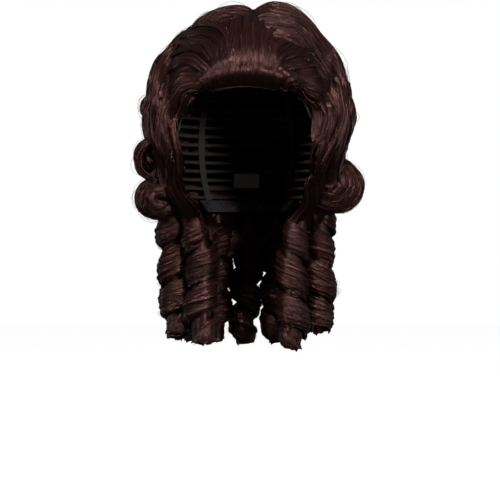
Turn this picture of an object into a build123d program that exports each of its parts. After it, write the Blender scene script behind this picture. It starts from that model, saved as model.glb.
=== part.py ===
from build123d import *
import os
from math import asin, cos, degrees, radians, sin, sqrt

# A styled costume wig: a sewn cap that fits a head, hair combed back into two crown lobes,
# rolled curls at the sides and ringlets that hang beside and behind the neck.
# The origin is the inside of the cap at the top of the head. +Z is up, the face looks to -Y,
# and +X is to the right of someone who faces the wearer. Millimetres and degrees.

# ---- head form that the cap fits, a spheroid whose round section is square to X
HEAD_HALF_WIDTH = 78.0
HEAD_RADIUS = 100.0
HEAD_MIDDLE_Z = -HEAD_RADIUS

# ---- dressed hair over the head form
HAIR_OVER_SIDES = 20.0
HAIR_DEPTH = 24.0
HAIR_SHIFT_BACK = 14.0
HAIR_RISE = 14.0
HAIR_ROOT = 2.6
SEAM_GAP = 0.3

# ---- cap outline, seen from the side, from the head form's front, middle and nape
HAIRLINE_DROP = 45.0
BROW_DEPTH = 16.0
TEMPLE_DEPTH = 38.0
CHEEK_DEPTH = 46.0
TAB_FRONT_DEPTH = 50.0
TAB_BACK_DEPTH = 70.0
TAB_DROP = 85.0
NAPE_DROP = 68.0
HAIRLINE_Z = -HAIRLINE_DROP
FRONT_Y = -HEAD_RADIUS
CAP_BOTTOM_Z = HEAD_MIDDLE_Z - NAPE_DROP

# ---- cap materials, as distances out from the head form
VELVET_THICKNESS = 0.9
RIBBON_THICKNESS = 0.8
NET_INNER = 1.0
NET_THICKNESS = 0.6
WEFT_INNER = 0.9
WEFT_THICKNESS = 1.5

# ---- cap layout
VELVET_WIDTH = 12.0
BINDING_WIDTH = 4.0
CROWN_NET_RADIUS = 38.0
FRONT_NET_DEPTH = 62.0
TAB_NET_DEPTH = 74.0
TAB_NET_RISE = 10.0
WEFT_PITCH = 9.0
WEFT_HEIGHT = 3.0
WEFT_FIRST_DROP = 18.0
RIBBON_WIDTH = 8.0
RIBBON_ANGLES = (20, 60, 120, 160)
STAY_WIDTH = 3.0
STAY_LENGTH = 32.0
STAY_THICKNESS = 0.7
STAY_DEPTH = 59.0
LABEL_WIDTH = 26.0
LABEL_HEIGHT = 15.0
LABEL_DROP = 28.0
LABEL_THICKNESS = 0.5
FRONT_NET_BACK_Y = FRONT_Y + FRONT_NET_DEPTH
TAB_TOP_Z = HEAD_MIDDLE_Z + TAB_NET_RISE
STAY_Y = FRONT_Y + STAY_DEPTH
LABEL_TOP_Z = HEAD_MIDDLE_Z - LABEL_DROP

# ---- nape band and its adjusters, distances out from the head form at the centre back
NAPE_BAND_HEIGHT = 12.0
NAPE_BAND_THICKNESS = 0.9
NAPE_BAND_LIFT = 1.9
NAPE_BAND_REACH = 62.0
STRAP_HEIGHT = 6.0
STRAP_THICKNESS = 0.8
STRAP_LIFT = 0.8
STRAP_START = 22.0
STRAP_END = 60.0
STRAP_CLEARANCE = 0.4
HOOK_SPAN = 8.0
HOOK_RISE = 1.2
LOOP_ANGLES = (30, 50)
LOOP_SPAN = 3.0
LOOP_THICKNESS = 0.5
NAPE_BAND_TOP_Z = CAP_BOTTOM_Z + NAPE_BAND_HEIGHT
STRAP_LOW = (NAPE_BAND_HEIGHT - STRAP_HEIGHT) / 2
STRAP_HIGH = STRAP_LOW + STRAP_HEIGHT

# ---- where the hair is parted into sections
ROLL_INSET = 16.0
ROLL_DEPTH = 45.0
TEMPLE_WAVE_DEPTH = 72.0
LOBE_BACK_INSET = 60.0
LOBE_PARTING_X = 6.0
BACK_SPLIT_RISE = 10.0
ROLL_HALF_WIDTH = HEAD_HALF_WIDTH - ROLL_INSET
ROLL_BACK_Y = FRONT_Y + ROLL_DEPTH
TEMPLE_BACK_Y = FRONT_Y + TEMPLE_WAVE_DEPTH
LOBE_BACK_Y = HEAD_RADIUS - LOBE_BACK_INSET
BACK_SPLIT_Z = HEAD_MIDDLE_Z + BACK_SPLIT_RISE

# ---- rolled side curls: name, how far the middle is out from the side of the head form,
# its y, its rise above the middle of the head form, radius, length along Y
RIGHT_CURLS = (
    ("upper", 15.0, -2.0, 24.0, 14.5, 62.0),
    ("lower", 12.0, 4.0, -42.0, 28.0, 62.0),
)
LEFT_CURLS = (
    ("upper", 12.0, -2.0, 34.0, 13.5, 62.0),
    ("middle", 16.5, 4.0, -14.0, 15.5, 62.0),
    ("lower", 13.0, 4.0, -51.5, 19.0, 62.0),
)
CURL_EDGE = 5.0
LOWEST_CURL_Z = HEAD_MIDDLE_Z + min(rise - radius for _, _, _, rise, radius, _ in RIGHT_CURLS + LEFT_CURLS)

# ---- hanging ringlets: a row round the back of the neck, and one in front of each end of it
RINGLET_RADIUS = 13.5
RINGLET_WAIST = 1.9
RINGLET_TIP = 6.5
RINGLET_TURNS = 5
RINGLET_GAP = 4.4
RINGLET_DROP = 4.5
NECK_SPACE_RADIUS = 60.5
NECK_SPACE_Y = 18.0
NECK_RINGLET_TURN = 211.0
RINGLET_LENGTHS = (
    ("right_1", 109.5),
    ("right_2", 117.5),
    ("right_3", 123.5),
    ("right_4", 128.5),
    ("back", 130.5),
    ("left_4", 128.5),
    ("left_3", 125.5),
    ("left_2", 123.5),
    ("left_1", 117.5),
)
RIGHT_FRONT_LENGTH = 132.5
LEFT_FRONT_LENGTH = 126.5
RINGLET_TOP_Z = min(CAP_BOTTOM_Z, LOWEST_CURL_Z) - RINGLET_DROP
RING_RADIUS = NECK_SPACE_RADIUS + RINGLET_RADIUS
RINGLET_SPACING = 2 * RINGLET_RADIUS + RINGLET_GAP
RING_STEP = 2 * degrees(asin(RINGLET_SPACING / (2 * RING_RADIUS)))

# ---- reach of the blocks that cut the hair into sections
FAR = 2 * (HEAD_RADIUS + HAIR_DEPTH)

# ---- each spheroid ends in a small flat, which keeps its two poles sound
POLE_FLAT = 0.05

# The cap's side view as y, z points: hairline, temple, cheek, ear tab, ear arch and nape.
CAP_SIDE = (
    (-FAR, HAIRLINE_Z),
    (FRONT_Y + BROW_DEPTH, HAIRLINE_Z),
    (FRONT_Y + TEMPLE_DEPTH, HAIRLINE_Z - 10),
    (FRONT_Y + CHEEK_DEPTH, HAIRLINE_Z - 37),
    (FRONT_Y + TAB_FRONT_DEPTH, HAIRLINE_Z - TAB_DROP),
    (FRONT_Y + TAB_BACK_DEPTH, HAIRLINE_Z - TAB_DROP),
    (FRONT_Y + TAB_BACK_DEPTH + 4, HEAD_MIDDLE_Z - 3),
    (-6, HEAD_MIDDLE_Z + 9),
    (14, HEAD_MIDDLE_Z - 5),
    (22, CAP_BOTTOM_Z + 18),
    (40, CAP_BOTTOM_Z),
    (FAR, CAP_BOTTOM_Z),
    (FAR, FAR),
    (-FAR, FAR),
)

# The front edge of the hair in the same view, which covers the ears.
HAIR_SIDE = (
    (-FAR, HAIRLINE_Z),
    (FRONT_Y + BROW_DEPTH, HAIRLINE_Z),
    (FRONT_Y + TEMPLE_DEPTH - 4, HAIRLINE_Z - 12),
    (FRONT_Y + CHEEK_DEPTH - 2, HAIRLINE_Z - 39),
    (FRONT_Y + TAB_FRONT_DEPTH, HAIRLINE_Z - TAB_DROP),
    (FRONT_Y + TAB_FRONT_DEPTH + 10, CAP_BOTTOM_Z),
    (FAR, CAP_BOTTOM_Z),
    (FAR, FAR),
    (-FAR, FAR),
)

os.makedirs("parts", exist_ok=True)


def write(builder, name):
    """Label a finished piece and write its file."""
    builder.part.label = name
    export_step(builder.part, f"parts/{name}.step")


def spheroid(half_width, radius, centre_y, centre_z, mode=Mode.ADD):
    """A spheroid whose round section is square to X."""
    with BuildSketch(Plane.XY.offset(centre_z)) as section:
        with Locations((0, centre_y)):
            Ellipse(half_width, radius)
            Rectangle(
                2 * (half_width - POLE_FLAT),
                radius,
                align=(Align.CENTER, Align.MIN),
                mode=Mode.INTERSECT,
            )
    revolve(section.sketch, axis=Axis((0, centre_y, centre_z), (1, 0, 0)), mode=mode)


def head_form(lift, mode=Mode.ADD):
    """The head form, grown outwards by lift."""
    spheroid(HEAD_HALF_WIDTH + lift, HEAD_RADIUS + lift, 0, HEAD_MIDDLE_Z, mode)


def head_shell(inner, thickness):
    """A layer that lies on the head form, from inner outwards."""
    head_form(inner + thickness)
    head_form(inner, Mode.SUBTRACT)


def hair_shell():
    """All the fixed hair, from its roots on the cap to the outside of the style."""
    spheroid(
        HEAD_HALF_WIDTH + HAIR_OVER_SIDES,
        HEAD_RADIUS + HAIR_DEPTH,
        HAIR_SHIFT_BACK,
        HEAD_MIDDLE_Z + HAIR_RISE,
    )
    head_form(HAIR_ROOT, Mode.SUBTRACT)


def block(x, y, z, mode=Mode.INTERSECT):
    """Keep or remove the box between the given low and high x, y and z."""
    with BuildSketch(Plane.XY.offset(z[0])) as plan:
        with Locations((x[0], y[0])):
            Rectangle(x[1] - x[0], y[1] - y[0], align=(Align.MIN, Align.MIN))
    extrude(plan.sketch, amount=z[1] - z[0], mode=mode)


def side_outline(points, mode=Mode.INTERSECT, inset=0.0):
    """Keep or remove what lies within a side view, moved in from its edge by inset."""
    with BuildSketch(Plane.YZ) as side_view:
        Polygon(*points, align=None)
        if inset:
            offset(amount=-inset, kind=Kind.INTERSECTION, mode=Mode.REPLACE)
    extrude(side_view.sketch, amount=FAR, both=True, mode=mode)


def head_depth(z):
    """How far behind the origin the back of the head form is at a level."""
    return sqrt(HEAD_RADIUS**2 - (z - HEAD_MIDDLE_Z) ** 2)


# The nape's curve at the middle of the band is nearly a circle, whose upright axis is here.
NAPE_DEPTH = head_depth(CAP_BOTTOM_Z + NAPE_BAND_HEIGHT * 2 / 3)
NAPE_AXIS_Y = NAPE_DEPTH * (1 - (HEAD_HALF_WIDTH / HEAD_RADIUS) ** 2)


def nape_strip(start, end, low, high, lift, thickness, mode=Mode.ADD):
    """A strip on the nape's cone, from start to end degrees round from +Y towards +X."""
    out = (sin(radians(start)), cos(radians(start)), 0)
    section_plane = Plane(origin=(0, NAPE_AXIS_Y, 0), x_dir=out, z_dir=(out[1], -out[0], 0))
    top_y = head_depth(NAPE_BAND_TOP_Z) - NAPE_AXIS_Y
    bottom_y = head_depth(CAP_BOTTOM_Z) - NAPE_AXIS_Y
    slope = (top_y - bottom_y) / NAPE_BAND_HEIGHT
    inner_low = bottom_y + slope * low + lift
    inner_high = bottom_y + slope * high + lift
    with BuildSketch(section_plane) as section:
        Polygon(
            (inner_low, CAP_BOTTOM_Z + low),
            (inner_low + thickness, CAP_BOTTOM_Z + low),
            (inner_high + thickness, CAP_BOTTOM_Z + high),
            (inner_high, CAP_BOTTOM_Z + high),
            align=None,
        )
    axis = Axis((0, NAPE_AXIS_Y, 0), (0, 0, -1))
    revolve(section.sketch, axis=axis, revolution_arc=end - start, mode=mode)


# ---- the cap
with BuildPart() as velvet_front_band:
    head_shell(0, VELVET_THICKNESS)
    side_outline(CAP_SIDE)
    side_outline(CAP_SIDE, Mode.SUBTRACT, VELVET_WIDTH)
    block((-FAR, FAR), (-FAR, FRONT_NET_BACK_Y), (TAB_TOP_Z, 0))
write(velvet_front_band, "velvet_front_band")

with BuildPart() as front_net:
    head_shell(NET_INNER, NET_THICKNESS)
    side_outline(CAP_SIDE)
    block((-FAR, FAR), (-FAR, FRONT_NET_BACK_Y), (TAB_TOP_Z, FAR))
    with BuildSketch(Plane.XY.offset(-FAR)):
        Circle(CROWN_NET_RADIUS + SEAM_GAP)
    extrude(amount=2 * FAR, mode=Mode.SUBTRACT)
write(front_net, "front_net")

with BuildPart() as crown_net:
    head_shell(NET_INNER, NET_THICKNESS)
    with BuildSketch(Plane.XY.offset(HEAD_MIDDLE_Z)):
        Circle(CROWN_NET_RADIUS)
    extrude(amount=2 * HEAD_RADIUS, mode=Mode.INTERSECT)
write(crown_net, "crown_net")

with BuildPart() as weft_rows:
    head_shell(WEFT_INNER, WEFT_THICKNESS)
    side_outline(CAP_SIDE, inset=BINDING_WIDTH)
    block((-FAR, FAR), (FRONT_NET_BACK_Y + SEAM_GAP, FAR), (NAPE_BAND_TOP_Z + SEAM_GAP, FAR))
    block((-FAR, FAR), (-FAR, 0), (CAP_BOTTOM_Z, TAB_TOP_Z), Mode.SUBTRACT)
    rows = int((-WEFT_FIRST_DROP - NAPE_BAND_TOP_Z - WEFT_HEIGHT) / WEFT_PITCH) + 1
    with Locations(*[(0, 0, -WEFT_FIRST_DROP - row * WEFT_PITCH) for row in range(rows)]):
        Box(2 * FAR, 2 * FAR, WEFT_HEIGHT, mode=Mode.INTERSECT)
write(weft_rows, "weft_rows")

with BuildPart() as cap_ribbons:
    head_shell(0, RIBBON_THICKNESS)
    side_outline(CAP_SIDE, inset=BINDING_WIDTH)
    block((-FAR, FAR), (FRONT_NET_BACK_Y + SEAM_GAP, FAR), (NAPE_BAND_TOP_Z + SEAM_GAP, FAR))
    with BuildSketch(Plane.XY.offset(CAP_BOTTOM_Z)):
        for angle in RIBBON_ANGLES:
            with Locations(Location((0, 0, 0), (0, 0, 1), angle)):
                Rectangle(FAR, RIBBON_WIDTH, align=(Align.MIN, Align.CENTER))
        Circle(CROWN_NET_RADIUS, mode=Mode.SUBTRACT)
    extrude(amount=-CAP_BOTTOM_Z, mode=Mode.INTERSECT)
write(cap_ribbons, "cap_ribbons")

with BuildPart() as size_label:
    head_shell(0, LABEL_THICKNESS)
    block(
        (-LABEL_WIDTH / 2, LABEL_WIDTH / 2),
        (0, FAR),
        (LABEL_TOP_Z - LABEL_HEIGHT, LABEL_TOP_Z),
    )
write(size_label, "size_label")

for side, half in (("left", (-FAR, 0)), ("right", (0, FAR))):
    with BuildPart() as ear_tab:
        head_shell(NET_INNER, NET_THICKNESS)
        side_outline(CAP_SIDE)
        block(half, (-FAR, FRONT_Y + TAB_NET_DEPTH), (CAP_BOTTOM_Z, TAB_TOP_Z - SEAM_GAP))
    write(ear_tab, f"ear_tab_{side}")

    with BuildPart() as ear_stay:
        head_shell(0, STAY_THICKNESS)
        block(
            half,
            (STAY_Y - STAY_WIDTH / 2, STAY_Y + STAY_WIDTH / 2),
            (TAB_TOP_Z - STAY_LENGTH, TAB_TOP_Z - SEAM_GAP),
        )
    write(ear_stay, f"ear_stay_{side}")

    with BuildPart() as edge_binding:
        head_shell(0, RIBBON_THICKNESS)
        side_outline(CAP_SIDE)
        side_outline(CAP_SIDE, Mode.SUBTRACT, BINDING_WIDTH - SEAM_GAP)
        block(half, (STAY_Y + STAY_WIDTH, NAPE_AXIS_Y), (CAP_BOTTOM_Z, TAB_TOP_Z))
    write(edge_binding, f"edge_binding_{side}")

with BuildPart() as nape_band:
    nape_strip(
        -NAPE_BAND_REACH,
        NAPE_BAND_REACH,
        0,
        NAPE_BAND_HEIGHT,
        NAPE_BAND_LIFT,
        NAPE_BAND_THICKNESS,
    )
write(nape_band, "nape_band")

# ---- adjusters: each strap slides round the nape inside its loops and ends in a hook
for side, sign in (("left", -1), ("right", 1)):
    with BuildPart() as strap:
        start, end = sorted((sign * STRAP_START, sign * STRAP_END))
        nape_strip(start, end, STRAP_LOW, STRAP_HIGH, STRAP_LIFT, STRAP_THICKNESS)
    write(strap, f"adjuster_strap_{side}")

    with BuildPart() as hook:
        hook_end = STRAP_START - HOOK_SPAN
        start, end = sorted((sign * hook_end, sign * STRAP_START))
        nape_strip(start, end, STRAP_LOW, STRAP_HIGH, STRAP_LIFT, STRAP_THICKNESS)
        start, end = sorted((sign * hook_end, sign * (hook_end + HOOK_SPAN / 2)))
        third = STRAP_HEIGHT / 3
        nape_strip(
            start, end, STRAP_LOW + third, STRAP_HIGH - third, STRAP_LIFT - HOOK_RISE, HOOK_RISE
        )
    write(hook, f"adjuster_hook_{side}")

    with BuildPart() as loops:
        low = STRAP_LOW - STRAP_CLEARANCE
        high = STRAP_HIGH + STRAP_CLEARANCE
        depth = NAPE_BAND_LIFT - LOOP_THICKNESS
        for angle in LOOP_ANGLES:
            start, end = sorted((sign * angle, sign * (angle + LOOP_SPAN)))
            nape_strip(start, end, low - LOOP_THICKNESS, high + LOOP_THICKNESS, 0, NAPE_BAND_LIFT)
            nape_strip(start, end, low, high, LOOP_THICKNESS, depth, Mode.SUBTRACT)
    write(loops, f"adjuster_loops_{side}")


# ---- the hair that is fixed to the cap
def curl_middle(sign, out, y, rise):
    """Where a rolled curl's middle is, on the side that sign gives."""
    return (sign * (HEAD_HALF_WIDTH + out), y, HEAD_MIDDLE_Z + rise)


def curl_cut(sign, curls):
    """Leave room in the hair for the rolled curls that lie on it."""
    for _, out, y, rise, radius, length in curls:
        with Locations(curl_middle(sign, out, y, rise)):
            Cylinder(
                radius + SEAM_GAP,
                length + 2 * SEAM_GAP,
                rotation=(90, 0, 0),
                mode=Mode.SUBTRACT,
            )


with BuildPart() as front_roll:
    hair_shell()
    side_outline(HAIR_SIDE)
    block((-ROLL_HALF_WIDTH, ROLL_HALF_WIDTH), (-FAR, ROLL_BACK_Y), (BACK_SPLIT_Z, FAR))
write(front_roll, "front_roll")

for side, x_range in (
    ("left", (-ROLL_HALF_WIDTH, LOBE_PARTING_X)),
    ("right", (LOBE_PARTING_X + SEAM_GAP, ROLL_HALF_WIDTH)),
):
    with BuildPart() as lobe:
        hair_shell()
        block(x_range, (ROLL_BACK_Y + SEAM_GAP, LOBE_BACK_Y), (BACK_SPLIT_Z, FAR))
    write(lobe, f"crown_lobe_{side}")

with BuildPart() as back_upper:
    hair_shell()
    block((-FAR, FAR), (LOBE_BACK_Y + SEAM_GAP, FAR), (BACK_SPLIT_Z + SEAM_GAP, FAR))
write(back_upper, "back_hair_upper")

with BuildPart() as back_lower:
    hair_shell()
    block((-FAR, FAR), (LOBE_BACK_Y + SEAM_GAP, FAR), (CAP_BOTTOM_Z, BACK_SPLIT_Z))
write(back_lower, "back_hair_lower")

for side, sign, curls in (("left", -1, LEFT_CURLS), ("right", 1, RIGHT_CURLS)):
    x_range = sorted((sign * (ROLL_HALF_WIDTH + SEAM_GAP), sign * FAR))
    with BuildPart() as temple:
        hair_shell()
        side_outline(HAIR_SIDE)
        block(x_range, (-FAR, TEMPLE_BACK_Y), (CAP_BOTTOM_Z, FAR))
        curl_cut(sign, curls)
    write(temple, f"temple_wave_{side}")

    with BuildPart() as side_hair:
        hair_shell()
        block(x_range, (TEMPLE_BACK_Y + SEAM_GAP, LOBE_BACK_Y), (CAP_BOTTOM_Z, FAR))
        curl_cut(sign, curls)
    write(side_hair, f"side_hair_{side}")

    for name, out, y, rise, radius, length in curls:
        with BuildPart() as curl:
            with Locations(curl_middle(sign, out, y, rise)):
                Cylinder(radius, length, rotation=(90, 0, 0))
            fillet(curl.edges().filter_by(GeomType.CIRCLE), CURL_EDGE)
            head_form(HAIR_ROOT, Mode.SUBTRACT)
        write(curl, f"rolled_curl_{side}_{name}")


# ---- the ringlets that hang free
def ringlet(name, x, y, length):
    """One hanging ringlet: a round top about its hinge, then tapering turns to a soft tip."""
    middle_z = RINGLET_TOP_Z - RINGLET_RADIUS
    pitch = (length - RINGLET_RADIUS) / RINGLET_TURNS
    waist = RINGLET_RADIUS - RINGLET_WAIST
    with BuildPart() as curl:
        with BuildSketch(Plane(origin=(x, y, middle_z), x_dir=(1, 0, 0), z_dir=(0, -1, 0))):
            with BuildLine():
                Line((0, -RINGLET_TURNS * pitch), (0, RINGLET_RADIUS))
                RadiusArc((0, RINGLET_RADIUS), (RINGLET_RADIUS, 0), RINGLET_RADIUS)
                edge = RINGLET_RADIUS
                for turn in range(1, RINGLET_TURNS + 1):
                    low_edge = waist if turn < RINGLET_TURNS else waist - RINGLET_TIP
                    bulge = max(edge, low_edge) + (RINGLET_RADIUS - edge) / 2
                    ThreePointArc(
                        (edge, (1 - turn) * pitch),
                        (bulge, (0.5 - turn) * pitch),
                        (low_edge, -turn * pitch),
                    )
                    edge = low_edge
                Line((edge, -RINGLET_TURNS * pitch), (0, -RINGLET_TURNS * pitch))
            make_face()
        revolve(axis=Axis((x, y, 0), (0, 0, 1)))
    write(curl, f"ringlet_{name}")


for place, (name, length) in enumerate(RINGLET_LENGTHS):
    turn = radians(90 + (place - (len(RINGLET_LENGTHS) - 1) / 2) * RING_STEP)
    ringlet(name, RING_RADIUS * cos(turn), NECK_SPACE_Y + RING_RADIUS * sin(turn), length)

first_turn = radians(90 - (len(RINGLET_LENGTHS) - 1) / 2 * RING_STEP)
neck_x = RING_RADIUS * cos(first_turn) + RINGLET_SPACING * cos(radians(NECK_RINGLET_TURN))
neck_y = (
    NECK_SPACE_Y
    + RING_RADIUS * sin(first_turn)
    + RINGLET_SPACING * sin(radians(NECK_RINGLET_TURN))
)
ringlet("right_front", neck_x, neck_y, RIGHT_FRONT_LENGTH)
ringlet("left_front", -neck_x, neck_y, LEFT_FRONT_LENGTH)
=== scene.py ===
"""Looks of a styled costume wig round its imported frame: combed hair, curls and ringlets on a sewn cap."""

import logging
import math
from dataclasses import dataclass, field
from enum import Enum
from typing import Callable, Sequence

import bpy
import numpy as np
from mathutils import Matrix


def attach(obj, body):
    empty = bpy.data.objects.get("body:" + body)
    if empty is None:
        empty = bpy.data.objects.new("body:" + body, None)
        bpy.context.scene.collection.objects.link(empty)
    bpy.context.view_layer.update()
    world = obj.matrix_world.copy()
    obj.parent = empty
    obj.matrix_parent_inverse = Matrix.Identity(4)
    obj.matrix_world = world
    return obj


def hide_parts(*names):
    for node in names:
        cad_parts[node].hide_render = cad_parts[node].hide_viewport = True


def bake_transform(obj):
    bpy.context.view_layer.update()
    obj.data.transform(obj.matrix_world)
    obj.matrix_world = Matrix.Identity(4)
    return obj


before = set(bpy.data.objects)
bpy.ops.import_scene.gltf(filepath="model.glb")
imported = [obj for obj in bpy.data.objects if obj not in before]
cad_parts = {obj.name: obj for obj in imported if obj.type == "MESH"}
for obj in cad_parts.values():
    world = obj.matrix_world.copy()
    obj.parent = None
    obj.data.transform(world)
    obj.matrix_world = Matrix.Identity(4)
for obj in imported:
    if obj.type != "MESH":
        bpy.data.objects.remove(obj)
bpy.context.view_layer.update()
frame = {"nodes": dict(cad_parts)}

LOG = logging.getLogger("wig")
MM = 0.001
Point = tuple[float, float, float]


class Side(Enum):
    """The two sides of the wig, as the sign of X."""

    LEFT = -1
    RIGHT = 1

    @property
    def word(self) -> str:
        """The side's word in node names."""
        return self.name.lower()


# ---------------------------------------------------------------- curves and noise


def between(
    a: np.ndarray, b: np.ndarray, c: np.ndarray, d: np.ndarray, share: np.ndarray
) -> np.ndarray:
    """Pass smoothly from b to c, with a before them and d after them."""
    return 0.5 * (
        2 * b
        + (c - a) * share
        + (2 * a - 5 * b + 4 * c - d) * share**2
        + (3 * b - a - 3 * c + d) * share**3
    )


def rounded_line(points: np.ndarray, samples: int) -> np.ndarray:
    """Run a smooth line through points and space it evenly along its length.

    Args:
        points: The points to pass through, one row each.
        samples: How many evenly spaced points to give back.

    Returns:
        The spaced points, one row each.
    """
    ends = np.vstack([2 * points[0] - points[1], points, 2 * points[-1] - points[-2]])
    steps = np.linspace(0, len(points) - 1, samples * 4)
    first = np.minimum(steps.astype(int), len(points) - 2)
    line = between(*(ends[first + k] for k in range(4)), (steps - first)[:, None])
    along = np.concatenate([[0], np.cumsum(np.linalg.norm(np.diff(line, axis=0), axis=1))])
    even = np.linspace(0, along[-1], samples)
    return np.stack([np.interp(even, along, line[:, k]) for k in range(line.shape[1])], axis=1)


def spline_weights(share: np.ndarray) -> list[np.ndarray]:
    """Give the four weights of a smooth blend between lattice values."""
    return [
        (1 - share) ** 3 / 6,
        (3 * share**3 - 6 * share**2 + 4) / 6,
        (-3 * share**3 + 3 * share**2 + 3 * share + 1) / 6,
        share**3 / 6,
    ]


@dataclass
class Streaks:
    """Soft random values that change fast across the hair and slowly along it."""

    rng: np.random.Generator
    across: int
    along: int
    values: np.ndarray = field(init=False)

    def __post_init__(self) -> None:
        """Draw the lattice."""
        self.values = self.rng.normal(size=(self.across + 4, self.along + 4))

    def at(self, u: np.ndarray, v: np.ndarray) -> np.ndarray:
        """Read the streaks at places from 0 to 1 across and along."""
        u, v = np.broadcast_arrays(np.clip(u, 0, 1), np.clip(v, 0, 1))
        place_u, place_v = u * self.across, v * self.along
        first_u = np.minimum(place_u.astype(int), self.across - 1)
        first_v = np.minimum(place_v.astype(int), self.along - 1)
        weights_u = spline_weights(place_u - first_u)
        weights_v = spline_weights(place_v - first_v)
        total = np.zeros(u.shape)
        for i, weight_u in enumerate(weights_u):
            for j, weight_v in enumerate(weights_v):
                total += weight_u * weight_v * self.values[first_u + i, first_v + j]
        return total


def unit(vectors: np.ndarray) -> np.ndarray:
    """Scale vectors to length one."""
    return vectors / np.maximum(np.linalg.norm(vectors, axis=-1, keepdims=True), 1e-12)


def smooth_step(low: float, high: float, values: np.ndarray) -> np.ndarray:
    """Rise smoothly from 0 at low to 1 at high."""
    share = np.clip((values - low) / (high - low), 0, 1)
    return share * share * (3 - 2 * share)


# ---------------------------------------------------------------- meshes from arrays

# How the bake map is shared out: each sheet has one tile, its top over its underside, and the
# wisps stand in rows of narrow tiles.
TOP_TILE = 0.86
UNDER_TILE = 0.87
UNDER_TILE_SIZE = 0.12
SHEET_TILES = 2.0
WISP_TILES = 0.4
WISP_ROWS = 24
# How much darker a sheet's underside is, painted shade on the side that faces the head, and how its ridges
# add up to its relief.
UNDERSIDE_PAINTED_SHADE = 0.5
MEDIUM_SHARE = 0.45
RELIEF_SWING = 1.5


@dataclass
class MeshPart:
    """Points, faces and the values that the hair's finish reads, all in plain arrays."""

    points: np.ndarray
    faces: list[np.ndarray]
    strand: np.ndarray
    shade: np.ndarray
    bake: np.ndarray
    weight: float = 1.0


def grid_faces(rows: int, columns: int, first: int, flipped: bool) -> np.ndarray:
    """Number the four-sided faces of a grid of points.

    Args:
        rows: Points across.
        columns: Points along.
        first: The number of the grid's first point.
        flipped: Whether the faces look the other way.

    Returns:
        Four point numbers for each face.
    """
    index = first + np.arange(rows * columns).reshape(rows, columns)
    corners = [index[:-1, :-1], index[1:, :-1], index[1:, 1:], index[:-1, 1:]]
    quads = np.stack([c.ravel() for c in corners], axis=1)
    return quads[:, ::-1] if flipped else quads


def rim_faces(rows: int, columns: int, offset: int) -> np.ndarray:
    """Join the edges of two equal grids, the second one offset points after the first."""
    index = np.arange(rows * columns).reshape(rows, columns)
    loop = np.concatenate([index[0, :], index[1:, -1], index[-1, -2::-1], index[-2:0:-1, 0]])
    after = np.roll(loop, -1)
    return np.stack([loop, after, after + offset, loop + offset], axis=1)


def piece_from(name: str, parts: Sequence[MeshPart]) -> bpy.types.Object:
    """Make one object of several mesh parts, with its strand map, bake map and shades.

    Args:
        name: The piece's name.
        parts: The parts to join.

    Returns:
        The new object, at the origin.
    """
    total = sum(part.weight for part in parts)
    starts = np.cumsum([0.0] + [part.weight / total for part in parts])
    points, strand, shade, bake, faces = [], [], [], [], []
    first = 0
    for part, low, high in zip(parts, starts[:-1], starts[1:]):
        points.append(part.points)
        strand.append(part.strand)
        shade.append(part.shade)
        bake.append(part.bake * (high - low, 1) + (low, 0))
        faces += [block + first for block in part.faces]
        first += len(part.points)
    mesh = bpy.data.meshes.new(name)
    corners = np.concatenate([block.ravel() for block in faces]).astype(np.int32)
    sizes = np.concatenate([np.full(len(block), block.shape[1]) for block in faces])
    mesh.vertices.add(first)
    mesh.vertices.foreach_set("co", (np.concatenate(points) * MM).astype(np.float32).ravel())
    mesh.loops.add(len(corners))
    mesh.loops.foreach_set("vertex_index", corners)
    mesh.polygons.add(len(sizes))
    mesh.polygons.foreach_set("loop_start", (np.cumsum(sizes) - sizes).astype(np.int32))
    mesh.update(calc_edges=True)
    for map_name, values in (("Strand", strand), ("OFBake", bake)):
        layer = mesh.uv_layers.new(name=map_name)
        flat = np.concatenate(values)[corners].astype(np.float32)
        layer.uv.foreach_set("vector", flat.ravel())
    attribute = mesh.attributes.new("shade", "FLOAT", "POINT")
    attribute.data.foreach_set("value", np.concatenate(shade).astype(np.float32))
    mesh.shade_smooth()
    piece = bpy.data.objects.new(name, mesh)
    bpy.context.scene.collection.objects.link(piece)
    return piece


# ---------------------------------------------------------------- hair

Core = Callable[[np.ndarray], np.ndarray]
HEAD_MIDDLE = (0.0, 0.0, -100.0)


def head_core(points: np.ndarray) -> np.ndarray:
    """The inside of the hair that lies on the head: the middle of the head form."""
    return np.broadcast_to(np.array(HEAD_MIDDLE), points.shape)


def rod_core(x: float, z: float) -> Core:
    """The inside of a rolled curl: a line along Y through x and z."""
    return lambda p: np.stack([np.full(p.shape[:-1], x), p[..., 1], np.full(p.shape[:-1], z)], -1)


def post_core(x: float, y: float) -> Core:
    """The inside of a ringlet: an upright line through x and y."""
    return lambda p: np.stack([np.full(p.shape[:-1], x), np.full(p.shape[:-1], y), p[..., 2]], -1)


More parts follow.
